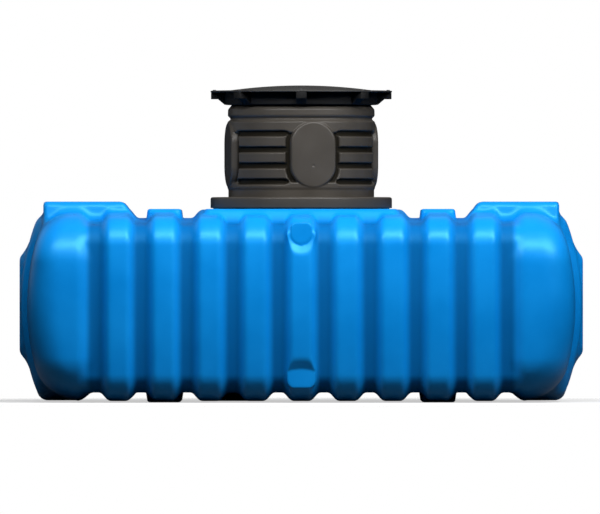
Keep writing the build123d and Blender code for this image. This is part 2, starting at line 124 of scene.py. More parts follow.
PIPE_DISC_DEPTH = 0.0115
PIPE_BOSS_RADIUS = 0.061
DRAIN_SEAT_TOP = 0.136
DRAIN_SEAT_BOTTOM = 0.061
DRAIN_SEAT_HALF = 0.0585
DRAIN_BROW_HALF = 0.061
DRAIN_SEAT_CORNER = 0.028
DRAIN_SEAT_DEPTH = 0.017
DRAIN_SEAT_SLOPE = 37 / 17

# Soft edges and blends of the body, which the mould leaves round
HARD_EDGE = 0.001
DECK_EDGE = 0.012
DECK_CORNER = 0.030
DECK_FOOT = 0.014
DECK_END_FOOT = 0.003
DECK_END_STRETCH = (0.015, 0.050)
END_DECK_CORNER = 0.012
END_DECK_FOOT = 0.014
END_DECK_FRONT_FOOT = 0.036
END_DECK_STRETCH = (0.030, 0.070)
END_DECK_FRONT_STRETCH = (-0.050, -0.010)
PAD_CORNER = 0.020
PAD_FOOT = 0.005
RIB_CREST_EASE = 0.028
RIB_ROOT_EASE = 0.020
LOBE_CREST_EASE = 0.024
LOBE_ROOT_EASE = 0.018
LOBE_OVERLAP = 0.020
LOBE_BLEND = 0.006
LOBE_SHARPER_BY = 0.035
LOBE_SHARPER_STRETCH = (0.50, 0.72)
PANEL_STRETCH = (-0.012, 0.024)
PANEL_TOE_STRETCH = (0.05, 0.20)
CREASE_DEPTH = 0.007
CREASE_OFFSET = 0.030
CREASE_WIDTH = 0.016
BOSS_REACH = 0.290
BOSS_EDGE = 0.006
BOSS_SIDE_EDGE = 0.008
BOSS_FOOT = 0.010
SUMP_EDGE = 0.008
SUMP_FOOT = 0.006
PIPE_BOSS_EDGE = 0.010
PIPE_DISC_EDGE = 0.0025
PIPE_DISC_FOOT = 0.002
SEAT_EDGE = 0.004
DRAIN_BLOCK_EDGE = 0.005
DRAIN_BLOCK_FOOT = 0.008
DRAIN_BROW_RISE = 0.010
DRAIN_BROW_DROP = 0.008
HIDDEN_EASE = 0.012
HIDDEN_MARGIN = 0.010
HIDDEN_END_MARGIN = 0.004
FAR_OFF = 1.0

# Rays that find the body's surface: one row of them a station, and a fan of rows at each end
FAN_X = END_START - 0.012
FAN_COUNT = 60
STATION_COUNT = 294
CROWN_RAYS = 27
SHOULDER_RAYS = 9
SIDE_RAYS = 67
HAUNCH_RAYS = 7
BASE_RAYS = 11
RAY_NEAR = 0.12
RAY_FAR = 1.0
RAY_HALVINGS = 24
SPREAD_SAMPLES = 4000

# Riser and cover, taken from the frame where they seat
RISER_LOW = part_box("riser")[0][2]
RISER_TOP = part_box("riser")[1][2]
RING_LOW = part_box("base_ring")[0][2]
RING_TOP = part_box("base_ring")[1][2]
RING_RADIUS = 0.376
FRAME_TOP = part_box("cover_frame")[1][2]
FRAME_RADIUS = 0.318
COVER_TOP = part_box("cover")[1][2]
COVER_RADIUS = 0.376
RIM_BOTTOM = 1.281
RIM_TOP = 1.288
DOME_RADIUS = 0.307
LUG_LOW = 1.253
LUG_REACH = 0.374
LUG_LENGTH = 0.029
LUG_COUNT = 8
LUG_HALF_WIDTH = 0.022
LUG_EDGE = 0.002
FRAME_HOLE = 0.270
FRAME_LEDGE = 0.024
NECK_RADIUS = 0.304
BAND_RADIUS = 0.306
BAND_LOW = 0.880
BAND_TOP = 1.164
PAD_TURN = radians(9.5)
PAD_FACE = 0.309
PAD_HALF_WIDTH = 0.0885
PAD_HALF_HEIGHT = 0.1365
PAD_Z = 1.022
WAIST_RADIUS = 0.294
TOP_RING_RADIUS = 0.3045
MOUTH_RADIUS = 0.288
CAP_RADIUS = 0.150
PAD_STEP = 0.0035
PAD_FALL = 2.6
PAD_BLEND = 0.004
MARK_Z = 0.976
MARK_DEPTH = 0.0022
MARK_STRETCH = (0.002, 0.007)
GROOVE_COUNT = 4
GROOVE_PITCH = 0.0663
GROOVE_MIDDLE = 1.0095
GROOVE_HALF = 0.0105
GROOVE_DEPTH = 0.014
GROOVE_WALL_STRETCH = (-0.003, 0.005)
GROOVE_END_STRETCH = (-0.02, 0.10)
MOAT_WIDTH = 0.028
PANEL_HALF_TURN = radians(22.5)
RISER_COLUMNS = 576
PROFILE_COUNT = 170
RING_COLUMNS = 256
NEARLY_STRAIGHT = 0.01
POLE_GAP = 0.02
RING_GAP = 0.001
SCREW_CIRCLE = 0.360
SCREW_RADIUS = 0.0075
SCREW_HEIGHT = 0.0042
SCREW_SINK = 0.0005
SCREW_ROWS = 16
SCREW_COLUMNS = 16
DOME_ROWS = 40

# Painted shade in the hollows of the tank and the riser, and the tint of the tank's shine
VALLEY_PAINTED_SHADE = (0.0004, 0.072, 0.235)
VALLEY_SHADE_STRETCH = (0.048, 0.080)
TANK_SHINE = (0.20, 0.82, 1.0)
GROOVE_PAINTED_SHADE = (0.006, 0.005, 0.0025)

# Floor just under the feet, and where it fades out
FLOOR_LEVEL = -0.0006
FLOOR_RADIUS = 6.0
FLOOR_FADE = (1.3, 2.3)


def soft_min(a, b, blend):
    """Smaller of two fields, with a parabola over the stretch where they differ by less than blend."""
    h = np.clip(0.5 + 0.5 * (b - a) / blend, 0, 1)
    return b + (a - b) * h - blend * h * (1 - h)


def soft_max(a, b, blend):
    """Larger of two fields, blended in the same way."""
    return -soft_min(-a, -b, blend)


def round_cut(a, b, r):
    """Distance to what two forms share, with their common edge rounded to the radius r."""
    edge = np.hypot(np.maximum(a + r, 0), np.maximum(b + r, 0))
    return np.minimum(-r, np.maximum(a, b)) + edge


def round_join(a, b, r):
    """Distance to two forms joined, with a hollow fillet of radius r where they meet."""
    return -round_cut(-a, -b, r)


def step(value, low, high):
    """Smooth step: 0 below low, 1 above high, 3t^2 - 2t^3 between."""
    t = np.clip((value - low) / (high - low), 0, 1)
    return t * t * (3 - 2 * t)


def spread(low, high, count, weight):
    """Places between low and high that lie closer where the weight function is larger."""
    fine = np.linspace(low, high, SPREAD_SAMPLES)
    share = np.concatenate(([0], np.cumsum(weight((fine[1:] + fine[:-1]) / 2))))
    return np.interp(np.linspace(0, share[-1], count), share, fine)


def section_distance(y, z, top_radius, low_radius):
    """Distance to the body's section: bowed sides, arched crown and flat base with rounded corners."""
    side = np.hypot(np.abs(y) - SIDE_CENTRE, z - BOW_HEIGHT) - BOW_RADIUS
    crown = np.hypot(y, z - CROWN_CENTRE) - CROWN_RADIUS
    upper = round_cut(side, crown, top_radius)
    lower = round_cut(side, VALLEY_BOTTOM - z, low_radius)
    return np.maximum(upper, lower)


def rib_height(x):
    """Height of the corrugation over its valleys: straight flanks, eased into the crest and the valley."""
    offset = np.abs(x / RIB_PITCH - np.round(x / RIB_PITCH)) * RIB_PITCH
    flank = (RIB_BASE / 2 - offset) * tan(RIB_ANGLE)
    height = soft_max(soft_min(flank, RIB_DEPTH, RIB_CREST_EASE), 0, RIB_ROOT_EASE)
    return np.where(np.abs(x) < RIB_PITCH * RIB_COUNT / 2, height, 0)


def raised(x_low, x_high, half_y, slopes, top, x, y, z, corner):
    """Distance to a block under the level top, whose low, high and long sides lean out by these angles."""
    low_lean, high_lean, side_lean = slopes
    below = top - z
    low = (x_low - x - below * tan(low_lean)) * cos(low_lean)
    high = (x - x_high - below * tan(high_lean)) * cos(high_lean)
    side = (np.abs(y) - half_y - below * tan(side_lean)) * cos(side_lean)
    sides = round_cut(round_cut(low, side, corner), round_cut(high, side, corner), HARD_EDGE)
    return round_cut(sides, -below, DECK_EDGE)


def inside_mask(x_gap, y_gap):
    """1 well inside a footprint and 0 outside it, from the distances to its edges."""
    return step(x_gap, 0, HIDDEN_EASE) * step(y_gap, 0, HIDDEN_EASE)


def stretch(value, place, ends):
    """Smooth step from 0 to 1 over a stretch whose ends are given from this place."""
    return step(value, place + ends[0], place + ends[1])


def rib_face(z):
    """Distance of the ribs' bowed outer face from the middle plane, at this height."""
    return SIDE_CENTRE + sqrt((BOW_RADIUS + RIB_DEPTH) ** 2 - (z - BOW_HEIGHT) ** 2)


def hidden_ribs(ax, ay, sump_r, upper):
    """Share by which the ribs are gone: 1 under the decks and straps above and over feet and sump below."""
    strap_gap = STRAP_HALF_X - np.abs(ax - STRAP_X)
    deck = inside_mask(DECK_HALF_X - HIDDEN_END_MARGIN - ax, DECK_HALF_Y - HIDDEN_MARGIN - ay)
    strap = inside_mask(strap_gap, STRAP_HALF_Y - HIDDEN_MARGIN - ay)
    foot = inside_mask(strap_gap, FOOT_HALF_Y - HIDDEN_MARGIN - ay)
    sump = step(SUMP_RADIUS - HIDDEN_EASE - sump_r, 0, HIDDEN_EASE)
    return np.where(upper, np.maximum(deck, strap), np.maximum(foot, sump))


def cut_ends(body, ax, ay, z):
    """The field cut off by bulging ends, whose middle panel reaches further, and joined with the bosses."""
    panel = 1 - stretch(ay, PANEL_HALF, PANEL_STRETCH)
    crease = CREASE_DEPTH * np.exp(-((ay - PANEL_HALF - CREASE_OFFSET) / CREASE_WIDTH) ** 2)
    reach = HALF_LENGTH - LOBE_SETBACK + (LOBE_SETBACK - PANEL_SETBACK) * panel - crease
    bulge = np.hypot(ax - reach + BULGE_RADIUS, z - BOW_HEIGHT) - BULGE_RADIUS
    panel_rounding = PANEL_TOE + (PANEL_ROUNDING - PANEL_TOE) * step(z, *PANEL_TOE_STRETCH)
    lobe_rounding = LOBE_ROUNDING - LOBE_SHARPER_BY * step(z, *LOBE_SHARPER_STRETCH)
    body = round_cut(body, bulge, lobe_rounding + (panel_rounding - lobe_rounding) * panel)

    off = np.abs(z - BOW_HEIGHT)
    bevel = (off - BOSS_HALF_HEIGHT - (HALF_LENGTH - ax) * BOSS_SLOPE) / sqrt(1 + BOSS_SLOPE**2)
    boss = round_cut(ax - HALF_LENGTH, bevel, BOSS_EDGE)
    boss = round_cut(boss, ay - BOSS_HALF_WIDTH, BOSS_SIDE_EDGE)
    boss = np.maximum(boss, off - BOSS_REACH)
    return round_join(body, boss, BOSS_FOOT)


def add_decks(body, x, ax, y, ay, z, upper):
    """The field joined with the manhole deck and both end decks, whose feet are wider along the front."""
    slopes = (DECK_DRAFT, DECK_DRAFT, DECK_SLOPE)
    deck = raised(-DECK_HALF_X, DECK_HALF_X, DECK_HALF_Y, slopes, DECK_TOP, x, y, z, DECK_CORNER)
    deck = np.maximum(deck, DECK_ROOT - z)
    inner = step(DECK_HALF_X - ax, *DECK_END_STRETCH)
    ease = DECK_END_FOOT + (DECK_FOOT - DECK_END_FOOT) * inner
    body = round_join(body, np.where(upper, deck, FAR_OFF), ease)

    slopes = (DECK_SLOPE, 0, DECK_DRAFT)
    low, high = END_DECK_LOW, END_DECK_HIGH
    end_deck = raised(low, high, END_DECK_HALF_Y, slopes, END_DECK_TOP, ax, y, z, END_DECK_CORNER)
    front = step(high - ax, *END_DECK_STRETCH) * step(ax - low, *END_DECK_STRETCH)
    front = front * stretch(ay, END_DECK_HALF_Y, END_DECK_FRONT_STRETCH)
    ease = END_DECK_FOOT + (END_DECK_FRONT_FOOT - END_DECK_FOOT) * front
    return round_join(body, np.where(upper, end_deck, FAR_OFF), ease)


def tank_distance(x, y, z):
    """Distance to the whole moulded body, built up from its section, ribs, ends, decks and seats."""
    ax = np.abs(x)
    ay = np.abs(y)
    upper = z > BOW_HEIGHT
    sump_r = np.hypot(x - SUMP_X, y)
    ribs = rib_height(x) * (1 - hidden_ribs(ax, ay, sump_r, upper))
    barrel = section_distance(y, z, SHOULDER_RADIUS, HAUNCH_RADIUS) - ribs
    rise = (ax - END_START) * RIB_DEPTH / LOBE_RUN
    rise = soft_max(soft_min(rise, RIB_DEPTH, LOBE_CREST_EASE), 0, LOBE_ROOT_EASE)
    lobe = section_distance(y, z, LOBE_CORNER, LOBE_CORNER) - rise
    body = soft_min(barrel, np.where(ax > END_START - LOBE_OVERLAP, lobe, FAR_OFF), LOBE_BLEND)
    body = cut_ends(body, ax, ay, z)
    body = add_decks(body, x, ax, y, ay, z, upper)

    low, high = STRAP_X - STRAP_HALF_X, STRAP_X + STRAP_HALF_X
    slopes = (0, 0, DECK_DRAFT)
    strap = raised(low, high, STRAP_HALF_Y, slopes, DECK_TOP, ax, y, z, PAD_CORNER)
    body = round_join(body, np.where(upper, strap, FAR_OFF), PAD_FOOT)
    foot = raised(low, high, FOOT_HALF_Y, slopes, 0.0, ax, y, -z, PAD_CORNER)
    body = round_join(body, np.where(upper, FAR_OFF, foot), PAD_FOOT)
    sump_side = (sump_r - SUMP_RADIUS + (VALLEY_BOTTOM - z) * tan(SUMP_DRAFT)) * cos(SUMP_DRAFT)
    sump = round_cut(sump_side, SUMP_BOTTOM - z, SUMP_EDGE)
    body = round_join(body, np.where(upper, FAR_OFF, sump), SUMP_FOOT)
    return seats(body, x, ay, z)


def rounded_box(across, up, half_width, low, high, corner):
    """Distance in a plane to an upright rectangle with rounded corners."""
    side = np.abs(across) - half_width + corner
    end = np.abs(up - (low + high) / 2) - (high - low) / 2 + corner
    outside = np.hypot(np.maximum(side, 0), np.maximum(end, 0))
    return outside + np.minimum(np.maximum(side, end), 0) - corner


def seats(body, x, ay, z):
    """The body's field with both seats of the middle rib: bosses joined, dish and brow cut, disc joined."""
    radius = np.hypot(x, z - PIPE_SEAT_Z)
    envelope = section_distance(ay, z, SHOULDER_RADIUS, HAUNCH_RADIUS) - RIB_DEPTH
    boss = round_cut(radius - PIPE_BOSS_RADIUS, envelope, PIPE_BOSS_EDGE)
    body = round_join(body, boss, PIPE_BOSS_EDGE)
    forward = ay - (rib_face(PIPE_SEAT_Z) - PIPE_SEAT_DEPTH)
    cone = (radius - PIPE_SEAT_RADIUS - forward * PIPE_SEAT_FLARE) / sqrt(1 + PIPE_SEAT_FLARE**2)
    body = round_cut(body, -np.maximum(-forward, cone), SEAT_EDGE)
    forward = ay - (rib_face(PIPE_SEAT_Z) - PIPE_DISC_DEPTH)
    up = z - PIPE_SEAT_Z
    rise = PIPE_DISC_RISE
    square = rounded_box(x, up, PIPE_DISC_RADIUS, -rise, rise, PIPE_DISC_CORNER)
    disc = np.where(up > 0, square, radius - PIPE_DISC_RADIUS)
    body = round_join(body, round_cut(disc, forward, PIPE_DISC_EDGE), PIPE_DISC_FOOT)

    forward = ay - (rib_face(DRAIN_SEAT_TOP) - DRAIN_SEAT_DEPTH)
    top = DRAIN_SEAT_TOP + DRAIN_SEAT_CORNER
    block = rounded_box(x, z, DRAIN_SEAT_HALF, DRAIN_SEAT_BOTTOM, top, DRAIN_SEAT_CORNER)
    body = round_join(body, round_cut(block, forward, DRAIN_BLOCK_EDGE), DRAIN_BLOCK_FOOT)
    arch = DRAIN_BROW_RISE * (1 - (x / DRAIN_BROW_HALF) ** 2) - DRAIN_BROW_DROP
    over = z - DRAIN_SEAT_TOP - arch - forward * DRAIN_SEAT_SLOPE
    brow = over / sqrt(1 + DRAIN_SEAT_SLOPE**2)
    cut = np.maximum(np.maximum(-forward, brow), np.abs(x) - DRAIN_BROW_HALF)
    return round_cut(body, -cut, SEAT_EDGE)


def bell(value, middle, width):
    """Bell curve: 1 at the middle, falling as the square of the distance in widths grows."""
    return np.exp(-(((value - middle) / width) ** 2))


def ray_stations():
    """Places along the tank that the rays start from, closer on the ribs' flanks and at the seats."""
    def near_flanks(x):
        offset = np.abs(x / RIB_PITCH - np.round(x / RIB_PITCH)) * RIB_PITCH
        return 1 + 1.4 * bell(offset, 0.058, 0.017) + 1.2 * (np.abs(x) < 0.075)

    return spread(-FAN_X, FAN_X, STATION_COUNT, near_flanks)


def ray_angles():
    """Angles of the rays about the tank's axis, aimed at places along a rough outline of its section."""
    def near_deck(y):
        return 1 + 6 * bell(y, 0.312, 0.022) + 3 * (y > 0.4)

    def near_foot(y):
        return 1 + 3 * bell(y, 0.425, 0.03)

    def near_seats(z):
        return 1 + 7 * step(z, 0.56, 0.62) + 6 * (1 - step(z, 0.18, 0.23))

    crown_y = spread(0.0, 0.500, CROWN_RAYS, near_deck)
    base_y = spread(0.0, 0.490, BASE_RAYS, near_foot)
    side_z = spread(0.045, 0.740, SIDE_RAYS, near_seats)
    over = np.linspace(0.2, 1, SHOULDER_RAYS) * pi / 2
    under = np.linspace(0, 0.75, HAUNCH_RAYS) * pi / 2
    haunch_y, haunch_z = 0.500 + 0.1 * np.sin(under), 0.105 - 0.1 * np.cos(under)
    shoulder_y, shoulder_z = 0.510 + 0.085 * np.cos(over), 0.705 + 0.085 * np.sin(over)
    side_y = np.full(SIDE_RAYS, 0.605)
    crown_z = np.full(CROWN_RAYS, 0.79)
    quarter_y = np.concatenate((base_y, haunch_y, side_y, shoulder_y, crown_y[::-1]))
    quarter_z = np.concatenate((np.zeros(BASE_RAYS), haunch_z, side_z, shoulder_z, crown_z))
    half = np.sort(np.arctan2(quarter_y, BOW_HEIGHT - quarter_z))
    return np.concatenate((half, 2 * pi - half[-2:0:-1]))


def tank_points():
    """Grid of the body's surface: rays from its axis line, fanned at the ends, each solved by halving."""
    stations = ray_stations()
    fan = np.linspace(0, pi / 2, FAN_COUNT + 2)[1:-1]
    start = np.concatenate((np.full(fan.size, -FAN_X), stations, np.full(fan.size, FAN_X)))
    lean = np.concatenate((-fan[::-1], np.zeros(stations.size), fan))
    around = ray_angles()

    dx = np.sin(lean)[:, None] * np.ones(around.size)
    dy = np.cos(lean)[:, None] * np.sin(around)
    dz = -np.cos(lean)[:, None] * np.cos(around)
    x0 = start[:, None] * np.ones(around.size)
    near = np.full(dx.shape, RAY_NEAR)
    far = np.full(dx.shape, RAY_FAR)
    for _ in range(RAY_HALVINGS):
        middle = (near + far) / 2
        inside = tank_distance(x0 + dx * middle, dy * middle, BOW_HEIGHT + dz * middle) < 0
        near = np.where(inside, middle, near)
        far = np.where(inside, far, middle)
    points = np.stack((x0 + dx * far, dy * far, BOW_HEIGHT + dz * far), axis=-1)
    return points, (-HALF_LENGTH, 0, BOW_HEIGHT), (HALF_LENGTH, 0, BOW_HEIGHT)


def lattice(rows, columns, wrap_rows):
    """Corner numbers of the quads of a grid whose columns close on themselves, as its rows may."""
    last = rows if wrap_rows else rows - 1
    r = np.arange(last)[:, None]
    c = np.arange(columns)[None, :]
    here = r * columns + c
    right = r * columns + (c + 1) % columns
    up = ((r + 1) % rows) * columns + c
    diagonal = ((r + 1) % rows) * columns + (c + 1) % columns
    return np.stack((here, right, diagonal, up), axis=-1).reshape(-1, 4)


def pole_fans(rows, columns):
    """Corner numbers of the triangles from a grid's first and last row to the two poles stored after it."""
    here = np.arange(columns)
    beside = (here + 1) % columns
    top = (rows - 1) * columns
    first = np.stack((beside, here, np.full(columns, rows * columns)), axis=-1)
    last = np.stack((top + here, top + beside, np.full(columns, rows * columns + 1)), axis=-1)
    return np.concatenate((first, last))


def build(name, vertices, quads, triangles, material):
    """Mesh object from arrays, turned so that its volume is positive, which points its faces outwards."""
    fans = np.concatenate((quads[:, :3], quads[:, [0, 2, 3]], triangles))
    a, b, c = (vertices[fans[:, i]] for i in range(3))
    if np.einsum("ij,ij->", a, np.cross(b, c)) < 0:
        quads = quads[:, ::-1]
        triangles = triangles[:, ::-1]
    mesh = bpy.data.meshes.new(name)
    mesh.vertices.add(len(vertices))
    mesh.vertices.foreach_set("co", vertices.astype(np.float32).ravel())
    corners = np.concatenate((quads.ravel(), triangles.ravel())).astype(np.int32)
    counts = np.concatenate((np.full(len(quads), 4), np.full(len(triangles), 3)))
    starts = np.concatenate(([0], np.cumsum(counts)[:-1]))
    mesh.loops.add(len(corners))
    mesh.loops.foreach_set("vertex_index", corners)
    mesh.polygons.add(len(counts))
    mesh.polygons.foreach_set("loop_start", starts.astype(np.int32))
    mesh.polygons.foreach_set("use_smooth", np.full(len(counts), True))
    mesh.update(calc_edges=True)
    mesh.validate()
    mesh.materials.append(material)
    piece = bpy.data.objects.new(name, mesh)
    bpy.context.scene.collection.objects.link(piece)
    return piece


def skin(name, points, material, poles=None, wrap_rows=False):
    """Piece from a grid of points, closed by a fan of triangles to a pole at each end of its rows."""
    rows, columns = points.shape[:2]
    vertices = points.reshape(-1, 3)
    quads = lattice(rows, columns, wrap_rows)
    triangles = np.zeros((0, 3), dtype=int)
    if poles is not None:
        vertices = np.concatenate((vertices, np.array(poles, dtype=float)))
        triangles = pole_fans(rows, columns)
    return build(name, vertices, quads, triangles, material)


def rounded_path(corners, radii, steps=6):
    """Open path through these corners, each replaced by an arc of its radius that touches both runs."""
    corners = np.array(corners, dtype=float)
    path = [corners[:1]]
    for before, corner, after, r in zip(corners[:-2], corners[1:-1], corners[2:], radii):
        u = (before - corner) / np.linalg.norm(before - corner)
        v = (after - corner) / np.linalg.norm(after - corner)
        half = np.arccos(np.clip(u @ v, -1, 1)) / 2
        if r <= 0 or half > pi / 2 - NEARLY_STRAIGHT:
            path.append(corner[None, :])
            continue
        centre = corner + (u + v) / np.linalg.norm(u + v) * r / sin(half)
        a = corner + u * r / tan(half) - centre
        b = corner + v * r / tan(half) - centre
        total = pi - 2 * half
        t = np.linspace(0, 1, steps)[:, None]
        path.append(centre + (np.sin((1 - t) * total) * a + np.sin(t * total) * b) / sin(total))
    path.append(corners[-1:])
    return np.concatenate(path)


def resample(path, count):
    """The same path with count points, evenly spaced along its length."""
    along = np.concatenate(([0], np.cumsum(np.linalg.norm(np.diff(path, axis=0), axis=1))))
    even = np.linspace(0, along[-1], count)
    return np.stack([np.interp(even, along, path[:, i]) for i in range(2)], axis=-1)


def turned(profile, columns):
    """Grid of a profile of radius and height carried round the riser's axis."""
    angle = np.arange(columns) * 2 * pi / columns
    r = profile[:, 0][:, None]
    z = profile[:, 1][:, None] * np.ones(columns)
    return np.stack((r * np.sin(angle), -r * np.cos(angle), z), axis=-1)


def from_pad(angle):
    """Turn from the nearest of the four pads, between minus and plus an eighth of a circle."""
    quarter = pi / 2
    return (angle - PAD_TURN + quarter / 2) % quarter - quarter / 2


def riser_profile():
    """Half section of the riser as radius and height: band, waist, top ring and a cap at each end."""
    foot = NECK_RADIUS - 0.002
    waist = BAND_TOP + 0.006
    corners = [(0.0, RISER_LOW), (foot, RISER_LOW), (foot, BAND_LOW - 0.004)]
    corners += [(BAND_RADIUS, BAND_LOW + 0.006), (BAND_RADIUS, BAND_TOP - 0.006)]
    corners += [(WAIST_RADIUS, waist - 0.002), (WAIST_RADIUS, waist + 0.003)]
    corners += [(TOP_RING_RADIUS, waist + 0.014), (TOP_RING_RADIUS - 0.001, waist + 0.040)]
    corners += [(MOUTH_RADIUS, RISER_TOP), (0.0, RISER_TOP)]
    radii = [0.002, 0.006, 0.008, 0.008, 0.002, 0.002, 0.010, 0.012, 0.003]
    outline = resample(rounded_path(corners, radii)[1:-1], PROFILE_COUNT)
    return np.concatenate(([(CAP_RADIUS, RISER_LOW)], outline, [(CAP_RADIUS, RISER_TOP)]))


def panel_grooves(turn, z):
    """1 on the floors of the grooves between the pads, which narrow and end where they meet the moats."""
    between = np.abs(np.abs(turn) - pi / 4)
    taper = 1 - stretch(between, PANEL_HALF_TURN, GROOVE_END_STRETCH)
    half = GROOVE_HALF * (0.35 + 0.65 * taper)
    grooves = np.zeros(z.shape)
    for index in range(GROOVE_COUNT):
        middle = GROOVE_MIDDLE + (index - (GROOVE_COUNT - 1) / 2) * GROOVE_PITCH
        cut = 1 - stretch(np.abs(z - middle), half, GROOVE_WALL_STRETCH)
        grooves = np.maximum(grooves, cut * step(taper, 0.0, 0.6))
    return grooves


def pad_moats(oval, z):
    """1 on the floors of the moats beside the pads, between the lowest and the highest groove."""
    half_height = (GROOVE_COUNT - 1) / 2 * GROOVE_PITCH
    panel = stretch(z, GROOVE_MIDDLE - half_height, (-0.008, 0.004))
    panel = panel * (1 - stretch(z, GROOVE_MIDDLE + half_height, (-0.004, 0.008)))
    return (1 - stretch(oval, MOAT_WIDTH, (-0.006, 0.002))) * panel


def riser_points():
    """Riser wall: a turned profile, drawn in at grooves and round the pads, drawn out at the oval pads."""
    profile = riser_profile()
    angle = np.arange(RISER_COLUMNS) * 2 * pi / RISER_COLUMNS
    r = profile[:, 0][:, None] * np.ones(RISER_COLUMNS)
    z = profile[:, 1][:, None] * np.ones(RISER_COLUMNS)
    turn = from_pad(angle)[None, :] * np.ones(z.shape)

    across = BAND_RADIUS * np.sin(turn)
    straight = PAD_HALF_HEIGHT - PAD_HALF_WIDTH
    along = np.maximum(np.abs(z - PAD_Z) - straight, 0)
    oval = np.hypot(across, along) - PAD_HALF_WIDTH
    r = r - GROOVE_DEPTH * np.maximum(panel_grooves(turn, z), pad_moats(oval, z))

    pad = PAD_FACE / np.cos(turn) - PAD_STEP * step(oval, -0.006, 0.0) - np.clip(oval, 0, 1) * PAD_FALL
    mark = np.hypot(across, z - MARK_Z)
    pad = pad - MARK_DEPTH * (1 - step(mark, *MARK_STRETCH))
    on_wall = (z > BAND_LOW - 0.02) & (z < BAND_TOP + 0.002)
    r = np.where(on_wall, soft_max(r, pad, PAD_BLEND), r)
    points = np.stack((r * np.sin(angle), -r * np.cos(angle), z), axis=-1)
    return points, (0, 0, RISER_LOW), (0, 0, RISER_TOP)


def closed_ring(name, corners, radii, material):
    """Ring whose closed profile has rounded corners, as a grid that closes on itself both ways."""
    middle = ((corners[0][0] + corners[-1][0]) / 2, (corners[0][1] + corners[-1][1]) / 2)
    path = rounded_path([middle, *corners, middle], radii)[:-1]
    return skin(name, turned(path, RING_COLUMNS), material, wrap_rows=True)


def prism(profile, half_width, edge):
    """Grid and poles of a prism: its outline carried across, drawn in at both ends for soft edges."""
    outline = rounded_path(profile, [edge] * (len(profile) - 2), 4)
    centre = outline.mean(axis=0)
    drawn = centre + (outline - centre) * 0.90
    inner = half_width - edge
    places = [(-half_width, drawn), (-inner, outline), (inner, outline), (half_width, drawn)]
    rows = [np.column_stack((np.full(len(path), x), path)) for x, path in places]
    return np.stack(rows), (-half_width, *centre), (half_width, *centre)


def around_axis(name, points, poles, count, material):
    """Copies of one small closed grid, spread about the riser's axis and joined in one piece."""
    rows, columns = points.shape[:2]
    single = np.concatenate((points.reshape(-1, 3), np.array(poles)))
    turn = np.arange(count) * 2 * pi / count
    x, y, z = single[:, 0], single[:, 1], single[:, 2]
    c, s = np.cos(turn)[:, None], np.sin(turn)[:, None]
    copies = np.stack((x * c + y * s, x * s - y * c, z + 0 * c), axis=-1)
    shift = (np.arange(count) * len(single))[:, None, None]
    quads = (lattice(rows, columns, False) + shift).reshape(-1, 4)
    triangles = (pole_fans(rows, columns) + shift).reshape(-1, 3)
    return build(name, copies.reshape(-1, 3), quads, triangles, material)


def wire(tree, kind, inputs=None, **settings):
    """Adds a node, sets it up and links or fills its inputs."""
    node = tree.nodes.new(kind)
    for key, value in settings.items():
        setattr(node, key, value)
    for key, value in (inputs or {}).items():
        if isinstance(value, bpy.types.NodeSocket):
            tree.links.new(value, node.inputs[key])
        else:
            node.inputs[key].default_value = value
    return node


def mapped(tree, value, source, target, **settings):
    """Value carried from one range to another and held at its ends."""
    node = wire(tree, "ShaderNodeMapRange", {"Value": value, "From Min": source[0], "From Max": source[1],
                                             "To Min": target[0], "To Max": target[1]}, **settings)
    return node.outputs["Result"]


def reckon(tree, operation, *values):
    """Result of one sum over values and sockets."""
    return wire(tree, "ShaderNodeMath", dict(enumerate(values)), operation=operation).outputs[0]


def blended(tree, share, first, second):
    """Colour between two, or between a colour socket and a colour."""
    return wire(tree, "ShaderNodeMix", {0: share, 6: first, 7: second}, data_type="RGBA").outputs[2]


def ramp(tree, value, stops):
    """Colour ramp over a value, from places and colours."""
    node = wire(tree, "ShaderNodeValToRGB", {"Fac": value})
    elements = node.color_ramp.elements
    while len(elements) < len(stops):
        elements.new(0.5)
    for element, (place, colour) in zip(elements, stops):
        element.position = place
        element.color = (*colour, 1)
    return node.outputs["Color"]


def moulded(name, dark, light, roughness, grain, grain_height, cloud, shine=0.25):
    """Moulded plastic: two close tones in soft clouds, a fine grain in the relief and uneven gloss."""
    material = bpy.data.materials.new(name)
    material.use_nodes = True
    tree = material.node_tree
    shader = tree.nodes["Principled BSDF"]
    place = wire(tree, "ShaderNodeTexCoord").outputs["Object"]
    clouds = wire(tree, "ShaderNodeTexNoise", {"Vector": place, "Scale": cloud, "Detail": 3.0})
    tone = ramp(tree, clouds.outputs["Fac"], [(0.3, dark), (0.7, light)])
    tree.links.new(tone, shader.inputs["Base Color"])
    fine = wire(tree, "ShaderNodeTexNoise", {"Vector": place, "Scale": grain, "Detail": 4.0,
                                             "Roughness": 0.6})
    gloss = mapped(tree, clouds.outputs["Fac"], (0.3, 0.7), roughness)
    tree.links.new(gloss, shader.inputs["Roughness"])
    relief = wire(tree, "ShaderNodeBump", {"Height": fine.outputs["Fac"], "Distance": grain_height,
                                           "Strength": 0.5})
    tree.links.new(relief.outputs["Normal"], shader.inputs["Normal"])
    shader.inputs["IOR"].default_value = 1.5
    shader.inputs["Specular IOR Level"].default_value = shine
    return material, tree, shader, place, relief


def cover_plastic():
    """Black plastic of the cover, with a close pattern of small raised studs."""
    tones = (0.023, 0.022, 0.0215), (0.034, 0.033, 0.031)
    name = "black_cover_plastic"
    material, tree, shader, place, relief = moulded(name, *tones, (0.42, 0.55), 900, 0.0004, 9)
    studs = wire(tree, "ShaderNodeTexVoronoi", {"Vector": place, "Scale": 90.0, "Randomness": 0.15})
    height = mapped(tree, studs.outputs["Distance"], (0.25, 0.42), (1.0, 0.0))
    tread = wire(tree, "ShaderNodeBump", {"Height": height, "Distance": 0.0012, "Strength": 0.8,
                                          "Normal": relief.outputs["Normal"]})
    tree.links.new(tread.outputs["Normal"], shader.inputs["Normal"])
    return material


